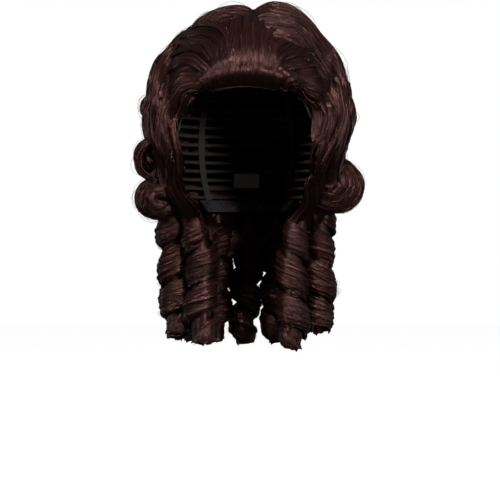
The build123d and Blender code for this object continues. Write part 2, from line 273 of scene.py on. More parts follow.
@dataclass
class Lock:
    """A combed sheet of hair: guides run along the fibres and stand side by side across it.

    All sizes are in millimetres. A lock makes its own closed mesh, with combed ridges, and
    the loose strands that lie over it.
    """

    guides: Sequence[Sequence[Point]]
    core: Core
    seed: int
    thickness: float = 2.2
    ridge: float = 0.6
    comb: float = 0.22
    edge_tuck: float = 3.0
    end_tuck: float = 1.5
    cell: float = 1.5
    step: float = 3.6
    wave: float = 0.0
    sway: float = 0.0
    wave_length: float = 46.0
    wave_phase: float = 0.0
    # glow shifts the colour of the whole sheet; the default below zero paints shade on the sheet under its
    # wisps, where it shows in the gaps between them.
    glow: float = -0.7
    samples: int = 96
    table: np.ndarray = field(init=False)
    rng: np.random.Generator = field(init=False)
    length: float = field(init=False)
    width: float = field(init=False)
    broad: Streaks = field(init=False)
    medium: Streaks = field(init=False)
    fine: Streaks = field(init=False)

    def __post_init__(self) -> None:
        """Space the guides evenly, measure the lock and draw its ridges."""
        rows = [rounded_line(np.array(guide, float), self.samples) for guide in self.guides]
        self.table = np.stack(rows)
        self.rng = np.random.default_rng(self.seed)
        along = np.linalg.norm(np.diff(self.table, axis=1), axis=2).sum(axis=1)
        across = np.linalg.norm(np.diff(self.table, axis=0), axis=2).sum(axis=0)
        self.length, self.width = float(along.mean()), float(across.mean())
        if self.wave or self.sway:
            self._undulate()
        self.broad = self._streaks(3, 9, 30)
        self.medium = self._streaks(6, 3.6, 28)
        self.fine = self._streaks(12, 1.7, 40)

    def _streaks(self, least: int, across: float, along: float) -> Streaks:
        """Draw streaks across by along millimetres in size, at least so many across."""
        return Streaks(self.rng, max(least, int(self.width / across)), max(3, int(self.length / along)))

    def _undulate(self) -> None:
        """Set waves into the lock, in and out and from side to side."""
        count = len(self.table)
        u, v = np.linspace(0, 1, count)[:, None], np.linspace(0, 1, self.samples)[None, :]
        turn = 2 * math.pi * (v * self.length / self.wave_length + self.wave_phase + 0.22 * u)
        fade = smooth_step(0, 0.15, v)
        normal = self.outward(u, v)
        sideways = unit(np.cross(np.gradient(self.table, axis=1), normal))
        swell = self.wave * np.sin(turn) * fade
        shift = self.sway * np.cos(turn) * fade
        self.table = self.table + normal * swell[..., None] + sideways * shift[..., None]

    def window(
        self, middle: float, spread: float, span: tuple[float, float], lift: float, drift: float, seed: int
    ) -> "Lock":
        """Lay a narrower lock over a stretch of this one.

        Args:
            middle: Where it starts across this lock, from 0 to 1.
            spread: Its width in millimetres.
            span: The stretch along this lock that it covers.
            lift: How high it stands over this lock at its middle.
            drift: How far it moves sideways from its start to its end.
            seed: The seed of its ridges.

        Returns:
            The narrower lock.
        """
        share = np.linspace(0, 1, 12)
        v = span[0] + (span[1] - span[0]) * share
        taper = 0.45 + 0.55 * np.sin(math.pi * np.clip(share, 0.02, 0.98)) ** 0.6
        guides = []
        for side in np.linspace(-0.5, 0.5, 5):
            u = middle + (side * spread * taper + drift * np.sin(share * math.pi / 2)) / self.width
            high = lift * np.sin(math.pi * share) ** 0.7 - 0.8
            high = high + 0.16 * spread * (1 - 4 * side**2) * np.sin(math.pi * share)
            beyond = np.clip(np.abs(u - 0.5) - 0.5, 0, None) * self.width
            guides.append(self.place(u, v) + self.outward(u, v) * (high - 0.8 * beyond)[:, None])
        # The narrower lock's sheet has glow 0, so it gets less painted shade than the sheet beneath it.
        return Lock(
            guides, self.core, seed, thickness=1.2, ridge=0.35, comb=0.22, edge_tuck=1.1, end_tuck=1.6,
            glow=0.0, cell=1.5, step=1.25 * self.step,
        )

    def place(self, u: np.ndarray, v: np.ndarray) -> np.ndarray:
        """Find points on the lock at shares u across and v along."""
        u, v = np.broadcast_arrays(u, v)
        count = len(self.table)
        before = 2 * self.table[:1] - self.table[1:2]
        after = 2 * self.table[-1:] - self.table[-2:-1]
        padded = np.concatenate([before, self.table, after])
        place_u = np.clip(u, 0, 1) * (count - 1)
        first_u = np.minimum(place_u.astype(int), count - 2)
        share_u = (place_u - first_u)[..., None]
        place_v = np.clip(v, 0, 1) * (self.samples - 1)
        first_v = np.minimum(place_v.astype(int), self.samples - 2)
        share_v = (place_v - first_v)[..., None]
        rows = (
            padded[first_u + k, first_v] * (1 - share_v) + padded[first_u + k, first_v + 1] * share_v
            for k in range(4)
        )
        return between(*rows, share_u)

    def _facing(self, u: np.ndarray, v: np.ndarray, small_u: float, small_v: float) -> np.ndarray:
        """Find directions square to the lock, by small steps across and along it."""
        across = self.place(u + small_u, v) - self.place(u - small_u, v)
        along = self.place(u, v + small_v) - self.place(u, v - small_v)
        return np.cross(across, along)

    def outward(self, u: np.ndarray, v: np.ndarray) -> np.ndarray:
        """Find the directions out of the lock, away from its core."""
        normal = unit(self._facing(u, v, 0.5 / self.width, 1.5 / self.length))
        u_middle, v_middle = np.array([0.5]), np.array([0.4])
        middle = self.place(u_middle, v_middle)
        away = self._facing(u_middle, v_middle, 0.02, 0.02) * (middle - self.core(middle))
        return normal if float(np.sum(away)) > 0 else -normal

    def relief(self, u: np.ndarray, v: np.ndarray) -> np.ndarray:
        """Give the height of the combed ridges, with the edges and ends tucked in."""
        ridges = self.broad.at(u, v) + MEDIUM_SHARE * self.medium.at(u, v)
        height = RELIEF_SWING * (self.ridge * ridges + self.comb * self.fine.at(u, v))
        rim = smooth_step(0, 0.12, u) * smooth_step(0, 0.12, 1 - u)
        ends = smooth_step(0, 0.08, v) * smooth_step(0, 0.08, 1 - v)
        return height * ends - self.edge_tuck * (1 - rim) - self.end_tuck * (1 - ends)

    def sheet(self) -> MeshPart:
        """Make the combed sheet as a closed mesh."""
        rows = max(6, int(self.width / self.cell))
        columns = max(8, int(self.length / self.step))
        count = rows * columns
        u, v = np.linspace(0, 1, rows)[:, None], np.linspace(0, 1, columns)[None, :]
        base, normal = self.place(u, v), self.outward(u, v)
        top = base + normal * self.relief(u, v)[..., None]
        under = base - normal * (self.thickness + 0.25 * self.edge_tuck)
        edge_a, edge_b = top[1:, :-1] - top[:-1, :-1], top[:-1, 1:] - top[:-1, :-1]
        flipped = float(np.sum(np.cross(edge_a, edge_b) * normal[:-1, :-1])) < 0
        rim = rim_faces(rows, columns, count)
        flat_u, flat_v = (np.broadcast_to(x, (rows, columns)).ravel() for x in (u, v))
        strand = np.stack([flat_u * self.width, flat_v * self.length], axis=1) * MM
        # The sheet's colour is lowered by glow and follows the fine and medium ridge streaks: random streaky
        # tone that is also painted shade, darker in the grooves.
        shade = (self.glow + 0.5 * (self.fine.at(u, v) + 0.8 * self.medium.at(u, v))).ravel()
        return MeshPart(
            points=np.concatenate([top.reshape(-1, 3), under.reshape(-1, 3)]),
            faces=[
                grid_faces(rows, columns, 0, flipped),
                grid_faces(rows, columns, count, not flipped),
                rim if flipped else rim[:, ::-1],
            ],
            strand=np.concatenate([strand, strand]),
            # The underside is darker: painted shade on the side that faces the head.
            shade=np.concatenate([shade, shade - UNDERSIDE_PAINTED_SHADE]),
            bake=np.concatenate(
                [
                    np.stack([flat_u, flat_v * TOP_TILE], axis=1),
                    np.stack([flat_u, UNDER_TILE + flat_v * UNDER_TILE_SIZE], axis=1),
                ]
            ),
            weight=SHEET_TILES,
        )

    def wisps(
        self,
        cover: float,
        half_width: tuple[float, float] = (0.22, 0.7),
        half_height: float = 0.24,
        lift: float = 0.9,
        stray: float = 0.0,
        reach: tuple[float, float] = (0.3, 0.9),
        tilt: float = 34.0,
        pitch: float = 6.8,
    ) -> MeshPart:
        """Lay fine closed wisps along the lock.

        Args:
            cover: How many times over they cover the lock.
            half_width: Their least and largest half widths.
            half_height: Their half thickness.
            lift: How high over the lock they lie.
            stray: How far some of them bow away from it.
            reach: Their least and largest lengths, as shares of the lock's.
            tilt: How far they roll about their own line, in degrees.
            pitch: The length of one step along them.

        Returns:
            The wisps' mesh.
        """
        rng = self.rng
        mean_reach = (reach[0] + reach[1]) / 2
        mean_area = (half_width[0] + half_width[1]) * self.length * mean_reach
        count = max(3, int(cover * self.width * self.length / mean_area))
        steps = int(np.clip(self.length * mean_reach / pitch, 6, 60))
        long = rng.uniform(*reach, count)
        start = rng.uniform(0, 1, count) * (1 - long)
        share = np.linspace(0, 1, steps + 1)[None, :]
        v = start[:, None] + long[:, None] * share
        home = rng.uniform(0.01, 0.99, count)[:, None]
        drift = rng.normal(0, 1.3, (count, 1)) * share + rng.normal(0, 0.8, (count, 1)) * np.sin(
            share * math.pi * rng.uniform(0.6, 2.2, (count, 1)) + rng.uniform(0, 6, (count, 1))
        )
        u = np.clip(home + drift / self.width, 0.003, 0.997)
        normal = self.outward(u, v)
        bow = np.sin(share * math.pi) ** 0.7
        high = lift * rng.uniform(0.15, 1.0, (count, 1)) * bow - 0.22
        far = stray * rng.random((count, 1)) ** 3 * np.sin(share * math.pi) ** 1.5
        line = self.place(u, v) + normal * (self.relief(u, v) + high + far)[..., None]
        taper = np.clip(np.sin(np.clip(share, 0.004, 0.996) * math.pi) * 3.2, 0, 1) ** 0.8
        wide = rng.uniform(*half_width, (count, 1)) * taper
        roll = np.radians(tilt) * (
            rng.normal(0, 1, (count, 1)) + 0.6 * rng.normal(0, 1, (count, 1)) * np.cos(share * 4)
        )
        # Wisps over high ridges are lighter and wisps in grooves darker: partly clump tone, partly painted
        # shade that follows the relief.
        middle = start[:, None] + long[:, None] / 2
        ridge_tone_and_shade = (self.fine.at(home, middle) + self.medium.at(home, middle))[:, 0]
        shade = 0.5 + 0.42 * rng.normal(0, 1, count) + 0.6 * ridge_tone_and_shade
        thick = half_height * (0.35 + 0.65 * taper)
        return tubes(line, normal, wide, np.broadcast_to(thick, wide.shape), roll, shade, self.length * long)


def tubes(
    line: np.ndarray,
    normal: np.ndarray,
    wide: np.ndarray,
    high: np.ndarray,
    roll: np.ndarray,
    shade: np.ndarray,
    length: np.ndarray,
) -> MeshPart:
    """Sweep flattened three-sided closed tubes along many lines at once.

    Args:
        line: Points of each line, as lines by points by 3.
        normal: The outward direction at each point.
        wide: The tube's half width at each point.
        high: The tube's half height at each point.
        roll: The angle at each point by which the tube rolls about its line.
        shade: One shade for each line.
        length: The length of each line.

    Returns:
        All the tubes as one mesh part.
    """
    count, steps, _ = line.shape
    ahead = unit(np.gradient(line, axis=1))
    across = unit(np.cross(ahead, normal))
    up = np.cross(across, ahead)
    turn_cos, turn_sin = np.cos(roll)[..., None], np.sin(roll)[..., None]
    across, up = across * turn_cos + up * turn_sin, up * turn_cos - across * turn_sin
    wide, high = wide[..., None] + 0.02, high[..., None]
    left, right = line - across * wide - up * high, line + across * wide - up * high
    points = np.stack([left, line + up * high, right], 2)
    index = np.arange(count * steps * 3).reshape(count, steps, 3)
    here, there = index[:, :-1], index[:, 1:]
    quads = []
    for k in range(3):
        after = (k + 1) % 3
        quad = np.stack([here[..., k], here[..., after], there[..., after], there[..., k]], -1)
        quads.append(quad.reshape(-1, 4))
    caps = [index[:, 0, ::-1].reshape(-1, 3), index[:, -1, :].reshape(-1, 3)]
    place = np.broadcast_to(np.linspace(0, 1, steps)[None, :, None], (count, steps, 3))
    around = np.broadcast_to(np.array([0.0, 0.5, 1.0])[None, None, :], (count, steps, 3))
    number = np.arange(count)[:, None, None]
    rows = min(WISP_ROWS, count)
    columns = math.ceil(count / rows)
    column = (number % columns + 0.08 + 0.84 * around) / columns
    row = (number // columns + 0.06 + 0.88 * place) / rows
    offset = number * 3.7
    strand = [(offset + around * wide * 3.0) * MM, (place * length[:, None, None] + offset) * MM]
    return MeshPart(
        points=points.reshape(-1, 3),
        faces=[np.concatenate(quads), np.concatenate(caps)],
        strand=np.stack(strand, -1).reshape(-1, 2),
        shade=np.repeat(shade, steps * 3),
        bake=np.stack([column, row], -1).reshape(-1, 2),
        weight=columns * WISP_TILES,
    )


@dataclass(frozen=True)
class HairForm:
    """The rounded outside of the styled hair on the head, in millimetres."""

    half_width: float = 98.0
    radius: float = 124.0
    centre_y: float = 14.0
    centre_z: float = -86.0

    def at(self, turn: float, rise: float, lift: float = 0.0) -> Point:
        """Find a point of the hair's outside.

        Args:
            turn: Degrees round the head from the front, towards +X above 0.
            rise: Degrees above the middle.
            lift: Millimetres outside the form.

        Returns:
            The point.
        """
        a, e = math.radians(turn), math.radians(rise)
        x, y, z = math.sin(a) * math.cos(e), -math.cos(a) * math.cos(e), math.sin(e)
        normal = unit(np.array((x / self.half_width, y / self.radius, z / self.radius)))
        base = np.array(
            (self.half_width * x, self.centre_y + self.radius * y, self.centre_z + self.radius * z)
        )
        return tuple(base + normal * lift)

    def line(self, *stops: tuple[float, float, float]) -> list[Point]:
        """Turn stops of turn, rise and lift into points."""
        return [self.at(*stop) for stop in stops]

    def over(self, x: float, z: float, lift: float) -> Point:
        """Find the point of the form's front that shows at x and z, lift outside it."""
        rise = math.asin(max(-1.0, min(1.0, (z - self.centre_z) / self.radius)))
        turn = math.asin(max(-1.0, min(1.0, x / (self.half_width * math.cos(rise)))))
        return self.at(math.degrees(turn), math.degrees(rise), lift)

    def slice(self, place: float, lean: float, lift: float) -> Point:
        """Find a point on the form in the upright slice at a Y place.

        Args:
            place: The slice's Y.
            lean: Degrees from the top towards +X.
            lift: Millimetres outside the form.

        Returns:
            The point.
        """
        share = math.sqrt(max(0.0, 1 - ((place - self.centre_y) / self.radius) ** 2))
        angle = math.radians(lean)
        return (
            (self.half_width * share + lift) * math.sin(angle),
            place - lift * (1 - share),
            self.centre_z + (self.radius * share + lift) * math.cos(angle),
        )


FORM = HairForm()


def mirrored(side: Side, points: Sequence[Point]) -> list[Point]:
    """Put points that are given for the right side on either side."""
    return [(side.value * x, y, z) for x, y, z in points]


def roll_up(
    middle: tuple[float, float, float],
    profile: Sequence[tuple[float, float]],
    start: float,
    sweep: float,
    shrink: float = 0.12,
    tilt: float = 0.0,
    side: Side = Side.RIGHT,
) -> list[list[Point]]:
    """Wind guides round a line along Y, as on a rolled curl.

    Args:
        middle: The curl's middle.
        profile: A radius and a Y place for each guide.
        start: The angle where the guides start, anticlockwise from +X as seen from the front.
        sweep: The angle they turn through.
        shrink: The share by which the radius falls on the way.
        tilt: How far the guides move back on the way.
        side: The side of the head, which mirrors the turning.

    Returns:
        The guides.
    """
    guides = []
    for radius, place in profile:
        points = []
        for share in np.linspace(0, 1, max(8, int(abs(sweep) / 20))):
            angle = math.radians(start + sweep * share)
            reach = radius * (1 - shrink * share)
            points.append(
                (
                    middle[0] + side.value * reach * math.cos(angle),
                    middle[1] + place + tilt * share,
                    middle[2] + reach * math.sin(angle),
                )
            )
        guides.append(points)
    return guides


@dataclass(frozen=True)
class Combing:
    """How narrower locks and wisps are laid over a sheet.

    The sheet is covered narrow times over by locks of the least and largest width, lift and
    reach, which drift sideways, and cover times over by wisps. Width, lift, drift, stray and the
    wisps' pitch are in millimetres, and reach is a share of the sheet's length.
    """

    narrow: float
    cover: float
    width: tuple[float, float]
    lift: tuple[float, float]
    reach: tuple[float, float]
    drift: float
    stray: float
    pitch: float = 6.8


# How the hair is combed in each place.
FRONT_COMBING = Combing(
    narrow=1.6, cover=1.3, width=(4, 9), lift=(0.3, 1.3), reach=(0.7, 1.0),
    drift=3.0, stray=2.5,
)
TEMPLE_COMBING = Combing(
    narrow=1.5, cover=0.95, width=(4, 9), lift=(0.6, 3.0), reach=(0.5, 0.95),
    drift=5.0, stray=4.0,
)
LOOSE_LOCK_COMBING = Combing(
    narrow=1.4, cover=1.1, width=(3, 6), lift=(0.5, 2.2), reach=(0.5, 0.9),
    drift=3.0, stray=4.0, pitch=5.6,
)
LOBE_COMBING = Combing(
    narrow=1.5, cover=0.95, width=(4, 10), lift=(0.8, 3.2), reach=(0.45, 0.9),
    drift=5.0, stray=5.0,
)
UPPER_BACK_COMBING = Combing(
    narrow=1.0, cover=0.40, width=(5, 11), lift=(0.6, 2.6), reach=(0.4, 0.8),
    drift=6.0, stray=3.0,
)
LOWER_BACK_COMBING = Combing(
    narrow=1.0, cover=0.45, width=(5, 11), lift=(0.6, 2.6), reach=(0.4, 0.8),
    drift=6.0, stray=3.0,
)
SKIRT_COMBING = Combing(
    narrow=0.9, cover=0.5, width=(5, 10), lift=(0.6, 2.6), reach=(0.5, 1.0),
    drift=5.0, stray=5.0,
)
SIDE_COMBING = Combing(
    narrow=1.4, cover=0.9, width=(4, 9), lift=(0.6, 2.8), reach=(0.35, 0.8),
    drift=6.0, stray=3.5,
)
CURL_COMBING = Combing(
    narrow=1.1, cover=0.9, width=(3, 6), lift=(0.5, 2.2), reach=(0.3, 0.7),
    drift=4.0, stray=4.0, pitch=5.0,
)
RINGLET_COMBING = Combing(
    narrow=1.05, cover=0.84, width=(3, 7), lift=(0.5, 2.2), reach=(0.14, 0.4),
    drift=3.0, stray=5.0, pitch=5.0,
)


@dataclass
class HairPiece:
    """One piece of the hair: its sheets, the narrower locks on them and the loose strands."""

    name: str
    parts: list[MeshPart] = field(default_factory=list)

    def comb(self, lock: Lock, way: Combing) -> None:
        """Add a sheet with narrower locks and wisps laid over it.

        Args:
            lock: The sheet.
            way: How they are laid.
        """
        self.parts.append(lock.sheet())
        rng = np.random.default_rng(lock.seed + 7)
        count = int(round(way.narrow * lock.width / (sum(way.width) / 2 * sum(way.reach) / 2)))
        places = (np.arange(count) + rng.uniform(0.15, 0.85, count)) / max(count, 1)
        rng.shuffle(places)
        for number, place in enumerate(places):
            long = rng.uniform(*way.reach)
            start = rng.uniform(0.0, 1.0 - long)
            spread, lift = float(rng.uniform(*way.width)), float(rng.uniform(*way.lift))
            drift = float(rng.normal(0, way.drift))
            span = (start, start + long)
            narrow = lock.window(float(place), spread, span, lift, drift, lock.seed * 31 + number)
            self.parts.append(narrow.sheet())
            self.parts.append(narrow.wisps(way.cover, lift=0.45, reach=(0.5, 1.0), pitch=way.pitch))
        self.parts.append(lock.wisps(way.cover, pitch=way.pitch))
        flyaway = lock.wisps(
            0.045 * way.cover, half_width=(0.1, 0.18), half_height=0.14, lift=1.2,
            stray=1.6 * way.stray, reach=(0.2, 0.6), pitch=way.pitch,
        )
        self.parts.append(flyaway)

    def finish(self, finish: bpy.types.Material) -> bpy.types.Object:
        """Make the object, give it its finish and put it in place of its node.

        Args:
            finish: The material.

        Returns:
            The object.
        """
        piece = piece_from("hair_" + self.name, self.parts)
        piece.data.materials.append(finish)
        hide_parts(self.name)
        triangles = sum(len(p.vertices) - 2 for p in piece.data.polygons)
        LOG.info("%s: %d triangles", piece.name, triangles)
        return piece

    def on_cap(self, finish: bpy.types.Material) -> bpy.types.Object:
        """Make the object and fix it to the cap."""
        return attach(self.finish(finish), "cap")


# ---------------------------------------------------------------- finishes


@dataclass(frozen=True)
class HairFinish:
    """The colours and sheen of the hair fibre."""

    dark: Point = (0.0032, 0.0011, 0.0010)
    middle: Point = (0.0110, 0.0036, 0.0031)
    warm: Point = (0.034, 0.0100, 0.0082)
    roughness: tuple[float, float] = (0.20, 0.34)
    tint: Point = (1.0, 0.48, 0.43)
    anisotropy: float = 0.5
    fibre_pitch: float = 0.32 * MM


def socket(group: bpy.types.NodeTree, name: str, kind: str, output: bool = False) -> None:
    """Add an input or an output to a node group."""
    group.interface.new_socket(name, in_out="OUTPUT" if output else "INPUT", socket_type=kind)


@dataclass
class Graph:
    """A node tree with short ways to add its nodes."""

    tree: bpy.types.NodeTree

    def add(self, kind: str, **settings: object) -> bpy.types.Node:
        """Add a node with the given settings."""
        node = self.tree.nodes.new(kind)
        for name, value in settings.items():
            setattr(node, name, value)
        return node

    def feed(self, slot: bpy.types.NodeSocket, value: object) -> None:
        """Link a socket to an input, or set it to a plain value."""
        if isinstance(value, bpy.types.NodeSocket):
            self.tree.links.new(value, slot)
        else:
            slot.default_value = value

    def fill(self, node: bpy.types.Node, **values: object) -> bpy.types.Node:
        """Feed a node's inputs by name, with _ in place of each space."""
        for name, value in values.items():
            self.feed(node.inputs[name.replace("_", " ")], value)
        return node

    def math(self, operation: str, *values: object, clamp: bool = False) -> bpy.types.NodeSocket:
        """Add a sum on sockets or numbers and return its result."""
        node = self.add("ShaderNodeMath", operation=operation, use_clamp=clamp)
        for slot, value in zip(node.inputs, values):
            self.feed(slot, value)
        return node.outputs[0]

    def ridge(self, value: object) -> bpy.types.NodeSocket:
        """Make a wave that is 1 at whole numbers and 0 halfway between them."""
        part = self.math("FRACT", value)
        return self.math("MULTIPLY", self.math("ABSOLUTE", self.math("SUBTRACT", part, 0.5)), 2.0)

    def scaled(self, vector: bpy.types.NodeSocket, pitch: bpy.types.NodeSocket) -> bpy.types.NodeSocket:
        """Divide a vector by a pitch."""
        node = self.add("ShaderNodeVectorMath", operation="SCALE")
        self.feed(node.inputs[0], vector)
        self.feed(node.inputs["Scale"], self.math("DIVIDE", 1.0, pitch))
        return node.outputs[0]

    def blend(self, share: object, low: object, high: object) -> bpy.types.NodeSocket:
        """Mix two colours by a share."""
        node = self.add("ShaderNodeMix", data_type="RGBA")
        return self.fill(node, A=low, B=high, Factor=share).outputs["Result"]

    def spread(self, value: object, **limits: float) -> bpy.types.NodeSocket:
        """Stretch a value between the given limits."""
        return self.fill(self.add("ShaderNodeMapRange"), Value=value, **limits).outputs[0]

    def bump(self, height: bpy.types.NodeSocket, distance: float, **more: float) -> bpy.types.NodeSocket:
        """Turn a height into a normal, distance in metres."""
        node = self.fill(self.add("ShaderNodeBump"), Distance=distance, Height=height, **more)
        return node.outputs["Normal"]


def fibre_group() -> bpy.types.NodeTree:
    """Make the node group that turns a strand map and a shade into fibre colour and relief.

    Returns:
        The group: strand map, shade and three colours in; colour, roughness share and height out.
    """
    group = bpy.data.node_groups.new("fibre", "ShaderNodeTree")
    socket(group, "Strand", "NodeSocketVector")
    for name in ("Shade", "Pitch"):
        socket(group, name, "NodeSocketFloat")
    for name in ("Dark", "Middle", "Warm"):
        socket(group, name, "NodeSocketColor")
    socket(group, "Color", "NodeSocketColor", True)
    for name in ("Share", "Height"):
        socket(group, name, "NodeSocketFloat", True)
    graph = Graph(group)
    entry, leave = graph.add("NodeGroupInput"), graph.add("NodeGroupOutput")
    strand = graph.scaled(entry.outputs["Strand"], entry.outputs["Pitch"])
    waves = []
    for across, along, detail in ((1.0, 0.012, 2.0), (0.22, 0.006, 3.0)):
        stretch = graph.add("ShaderNodeVectorMath", operation="MULTIPLY")
        graph.feed(stretch.inputs[0], strand)
        graph.feed(stretch.inputs[1], (across, along, 1.0))
        noise = graph.add("ShaderNodeTexNoise", noise_dimensions="2D")
        graph.fill(noise, Vector=stretch.outputs[0], Scale=1.0, Detail=detail, Roughness=0.6)
        waves.append(noise.outputs["Fac"])
    height = graph.math("MULTIPLY_ADD", waves[0], 0.55, graph.math("MULTIPLY", waves[1], 0.45))
    lowered = graph.math("MULTIPLY_ADD", entry.outputs["Shade"], 0.35, -0.30)
    share = graph.math("MULTIPLY_ADD", height, 1.25, lowered, clamp=True)
    low = graph.spread(share, From_Min=0.1, From_Max=0.55)
    high = graph.spread(share, From_Min=0.5, From_Max=0.95)
    colour = graph.blend(low, entry.outputs["Dark"], entry.outputs["Middle"])
    colour = graph.blend(high, colour, entry.outputs["Warm"])
    graph.fill(leave, Color=colour, Share=share, Height=height)
    return group


def hair_material(finish: HairFinish, group: bpy.types.NodeTree) -> bpy.types.Material:
    """Make the hair's material.

    Args:
        finish: Its colours and sheen.
        group: The fibre node group.

    Returns:
        The material.
    """
    made = bpy.data.materials.new("hair_fibre")
    made.use_nodes = True
    graph = Graph(made.node_tree)
    fibre = graph.add("ShaderNodeGroup", node_tree=group)
    graph.fill(
        fibre,
        Strand=graph.add("ShaderNodeUVMap", uv_map="Strand").outputs["UV"],
        Shade=graph.add("ShaderNodeAttribute", attribute_name="shade").outputs["Fac"],
        Pitch=finish.fibre_pitch,
        Dark=(*finish.dark, 1.0),
        Middle=(*finish.middle, 1.0),
        Warm=(*finish.warm, 1.0),
    )
    tangent = graph.add("ShaderNodeTangent", direction_type="UV_MAP", uv_map="Strand")
    rough = graph.spread(
        fibre.outputs["Share"], To_Min=finish.roughness[1], To_Max=finish.roughness[0]
    )
    graph.fill(
        made.node_tree.nodes["Principled BSDF"],
        Base_Color=fibre.outputs["Color"],
        Roughness=rough,
        Normal=graph.bump(fibre.outputs["Height"], 0.6 * MM, Strength=1.0),
        Specular_Tint=(*finish.tint, 1.0),
        Specular_IOR_Level=0.5,
        Anisotropic=finish.anisotropy,
        Tangent=tangent.outputs["Tangent"],
    )
    return made


# ---------------------------------------------------------------- the hair on the head


@dataclass
class FrontHair:
    """The hair combed up from the hairline over the forehead."""

    finish: bpy.types.Material
    turns: tuple[float, ...] = (-30, -24, -18, -12, -6, 0, 6, 12, 18, 24, 30)

    def guide(self, turn: float) -> list[Point]:
        """Run one guide from the hairline up and over, leaning out at the sides."""
        lean = turn / 30
        root = 20.0 - 3.2 * lean * lean
        sink = 4.5 * lean * lean
        return FORM.line(
            (turn * 0.92, root - 1.2, -15.0),
            (turn * 0.93, root + 0.8, -7.5),
            (turn * 0.96, root + 4.0, 0.5 - 0.3 * sink),
            (turn * 1.00, root + 10, 3.4 - sink),
            (turn * 1.08 + 2 * lean, root + 19, 2.4 - sink),
            (turn * 1.22 + 4 * lean, root + 29, 1.4 - sink),
            (turn * 1.45 + 7 * lean, root + 38, 1.0 - 0.6 * sink),
            (turn * 1.75 + 12 * lean, root + 45, -1.0),
            (turn * 2.05 + 18 * lean, root + 51, -6.0),
        )

    def build(self) -> bpy.types.Object:
        """Make the front roll."""
        piece = HairPiece("front_roll")
        guides = [self.guide(turn) for turn in self.turns]
        sheet = Lock(guides, head_core, 11, thickness=5.0, ridge=0.5, edge_tuck=5.0, end_tuck=2.0)
        piece.comb(sheet, FRONT_COMBING)
        return piece.on_cap(self.finish)


@dataclass
class TempleHair:
    """The hair swept from one temple up, out and down beside the face."""

    finish: bpy.types.Material
    side: Side
    fullness: float
    accents: Sequence[tuple[float, Sequence[Point]]] = ()

    def row(self, *points: Point) -> list[Point]:
        """Mirror points to this side, fuller or slimmer at the outside."""
        fuller = [(x + self.fullness * smooth_step(60, 100, np.array(x)), y, z) for x, y, z in points]
        return mirrored(self.side, fuller)

    def build(self) -> bpy.types.Object:
        """Make the temple wave."""
        piece = HairPiece(f"temple_wave_{self.side.word}")
        f = FORM.over
        guides = [
            self.row((38, -78, -52), (48, -74, -55), (58, -67, -60), (66, -61, -69), (70, -58, -82),
                     (70, -57, -96), (66, -52, -116), (64, -42, -134)),
            self.row((34, -84, -49), (46, -83, -46), (61, -75, -49), (73, -65, -61), (77, -60, -78),
                     (76, -58, -98), (71, -54, -120), (70, -42, -140)),
            self.row((30, -88, -47), f(41, -38, 1), f(58, -33, 2), f(76, -42, 2), (86, -58, -70),
                     (83, -58, -98), (76, -54, -122), (75, -42, -144)),
            self.row((25, -90, -46), f(33, -33, 3), f(52, -20, 3), f(76, -24, 2), (91, -55, -58),
                     (91, -56, -88), (83, -53, -118), (80, -42, -146)),
            self.row((20, -91, -45), f(25, -30, 3.2), f(40, -8, 3), f(70, -6, 2), (93, -50, -42),
                     (97, -51, -74), (90, -50, -110), (85, -40, -146)),
            self.row((15, -91, -45), f(17, -28, 3.2), f(26, 0, 2.4), f(52, 9, 2), f(82, -10, 2),
                     (98, -42, -56), (98, -44, -92), (90, -38, -136)),
            self.row((10, -91, -45), f(11, -26, 2.8), f(16, 4, 1.6), f(34, 19, 1), f(66, 10, 1),
                     (93, -24, -30), (100, -30, -80), (95, -28, -124)),
        ]
        sheet = Lock(
            guides, head_core, 21 + self.side.value, thickness=4.0, ridge=0.8, edge_tuck=4.0,
            wave=1.6, sway=2.0, wave_length=60, wave_phase=0.1,
        )
        piece.comb(sheet, TEMPLE_COMBING)
        for number, (width, points) in enumerate(self.accents):
            line = np.array(mirrored(self.side, points), float)
            ahead = unit(np.gradient(line, axis=0))
            outside = unit(line - head_core(line))
            sideways = unit(np.cross(ahead, outside))
            rows = [
                line + sideways * width * place - outside * abs(place) * 3
                for place in (-0.5, -0.2, 0.2, 0.5)
            ]
            lock = Lock(
                rows, head_core, 300 + 20 * self.side.value + number, thickness=2.5, ridge=0.5,
                edge_tuck=2.0, end_tuck=3.0, step=3.0,
            )
            piece.comb(lock, LOOSE_LOCK_COMBING)
        return piece.on_cap(self.finish)


# Degrees from the parting, millimetres outside the form, and the share of the swell.
LOBE_PROFILE = (
    (-3, -9, 0), (1, -3, 0.3), (8, 1.0, 0.9), (18, 1.5, 1.0), (31, 1.0, 0.8),
    (45, 0.5, 0.6), (59, 0.5, 0.6), (72, -1, 0.5), (84, -4, 0.2),
)


@dataclass
class CrownLobe:
    """One of the two full lobes behind the front roll."""

    finish: bpy.types.Material
    side: Side
    swell: float
    parting: float = 7.0

    def build(self) -> bpy.types.Object:
        """Make the lobe."""
        s = self.side.value
        piece = HairPiece(f"crown_lobe_{self.side.word}")
        rows = []
        for place in (-72, -58, -44, -28, -12, 6, 24):
            swell = self.swell * math.exp(-(((place + 24) / 40) ** 2))
            row = []
            for lean, lift, bulge in LOBE_PROFILE:
                x, y, z = FORM.slice(place, lean, lift + swell * bulge)
                row.append((s * x + self.parting, y + 10 * math.sin(math.radians(lean)), z))
            rows.append(row)
        sheet = Lock(
            rows, head_core, 31 + s, thickness=5.0, ridge=0.9, edge_tuck=6.0,
            wave=1.3, sway=2.5, wave_length=64, wave_phase=0.35,
        )
        piece.comb(sheet, LOBE_COMBING)
        return piece.on_cap(self.finish)


# The degrees round the head that each overlapping lock covers.
UPPER_BACK = ((66, 112), (104, 150), (142, 188), (172, 218), (210, 256), (248, 294))
LOWER_BACK = ((94, 134), (128, 164), (156, 204), (196, 232), (226, 266))
NAPE_SKIRT = ((-14, 30), (22, 66), (56, 124), (114, 158), (150, 194))
SKIRT_PROFILE = ((86, -140), (81, -158), (75, -172), (70, -186), (67, -202), (66, -216))


